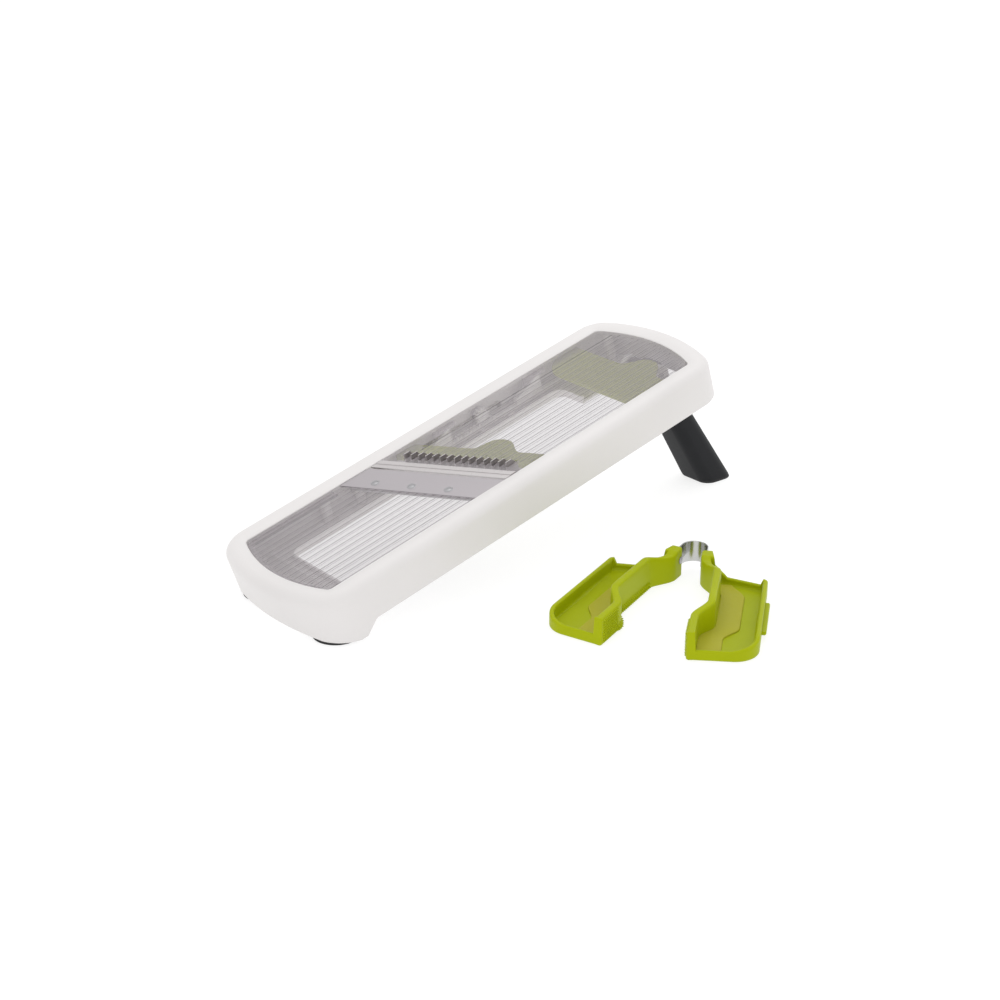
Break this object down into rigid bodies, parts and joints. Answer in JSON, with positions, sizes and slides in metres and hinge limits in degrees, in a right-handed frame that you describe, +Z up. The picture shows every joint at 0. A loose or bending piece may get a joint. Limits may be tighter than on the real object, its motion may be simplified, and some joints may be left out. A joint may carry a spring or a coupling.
{
  "type": "mandoline slicer",
  "caption": "Sloped hand slicer with a clear ribbed deck, a skewed steel blade, a julienne comb, a thickness dial, a fold-out leg and a sprung two-jaw food grip.",
  "frame": {"origin": "on the table, under the middle of the box round the slicer and the grip beside it", "axes": "+X to the right across the deck, +Y from the low end to the high end, +Z up"},
  "size_m": [0.3212, 0.4457, 0.1324],
  "materials": {
    "white_abs": "satin moulded",
    "inner_white": "moulded, lightly textured",
    "clear_deck": "clear ribbed plastic",
    "blade_steel": "fine ground",
    "fastener_steel": "plain",
    "spring_steel": "polished strip",
    "lime_plastic": "moulded",
    "lime_soft": "translucent soft insert",
    "black_plastic": "satin moulded",
    "black_rubber": "matt"
  },
  "bodies": {
    "slicer": {"housing": "white_abs", "base_frame": "inner_white", "base_screws": "fastener_steel", "outfeed_deck": "clear_deck", "blade_backing": "fastener_steel", "main_blade": "blade_steel", "blade_rivets": "fastener_steel", "leg_brackets": "inner_white", "leg_pin": "fastener_steel", "bracket_screws": "fastener_steel", "foot_pad_left": "white_abs", "foot_pad_right": "white_abs", "foot_rubber_left": "black_rubber", "foot_rubber_right": "black_rubber"},
    "leg": {"rear_leg": "black_plastic", "leg_pad": "black_rubber"},
    "ramp": {"infeed_ramp": "clear_deck", "ramp_lip": "blade_steel"},
    "comb": {"julienne_comb": "blade_steel", "comb_carrier": "inner_white", "comb_knob": "black_plastic", "comb_screws": "fastener_steel"},
    "lifter": {"front_lifter": "lime_plastic", "rear_lifter": "lime_plastic", "lifter_rail_left": "inner_white", "lifter_rail_right": "inner_white", "lifter_screws": "fastener_steel"},
    "dial": {"thickness_dial": "black_plastic", "dial_shaft": "inner_white", "dial_washer": "fastener_steel", "dial_screw": "fastener_steel"},
    "grip": {"jaw_left": "lime_plastic", "jaw_liner_left": "lime_soft", "spring_rivet_left": "fastener_steel", "grip_spring": "spring_steel"},
    "free_jaw": {"jaw_right": "lime_plastic", "jaw_liner_right": "lime_soft", "spring_rivet_right": "fastener_steel"}
  },
  "joints": [
    {"name": "leg_fold", "type": "hinge", "parent": "slicer", "child": "leg", "pos_m": [-0.08764, 0.13471, 0.1061], "axis": [-1, 0, 0], "range_deg": [0, 107]},
    {"name": "lifter_slide", "type": "slide", "parent": "slicer", "child": "lifter", "axis": [0, 0.9677, 0.2521], "range_m": [0, 0.012]},
    {"name": "ramp_drop", "type": "slide", "parent": "slicer", "child": "ramp", "axis": [0, 0.2521, -0.9677], "range_m": [0, 0.005]},
    {"name": "dial_turn", "type": "hinge", "parent": "slicer", "child": "dial", "pos_m": [-0.15464, 0.01945, 0.08047], "axis": [1, 0, 0], "range_deg": [0, 118]},
    {"name": "comb_drop", "type": "slide", "parent": "slicer", "child": "comb", "axis": [0, 0.2521, -0.9677], "range_m": [0, 0.0095]},
    {"name": "grip_lift", "type": "slide", "parent": "slicer", "child": "grip", "axis": [0, 0, 1], "range_m": [0, 0.12]},
    {"name": "jaw_squeeze", "type": "hinge", "parent": "grip", "child": "free_jaw", "pos_m": [0.03986, 0.06742, 0.0135], "axis": [0, 0, -1], "range_deg": [0, 20], "stiffness_Nm_per_rad": 0.6, "deforming": ["grip_spring"]}
  ],
  "couplings": [
    {"joint": "ramp_drop", "follows": "lifter_slide", "ratio": 0.41667},
    {"joint": "dial_turn", "follows": "lifter_slide", "rad_per_m": 166.67}
  ]
}
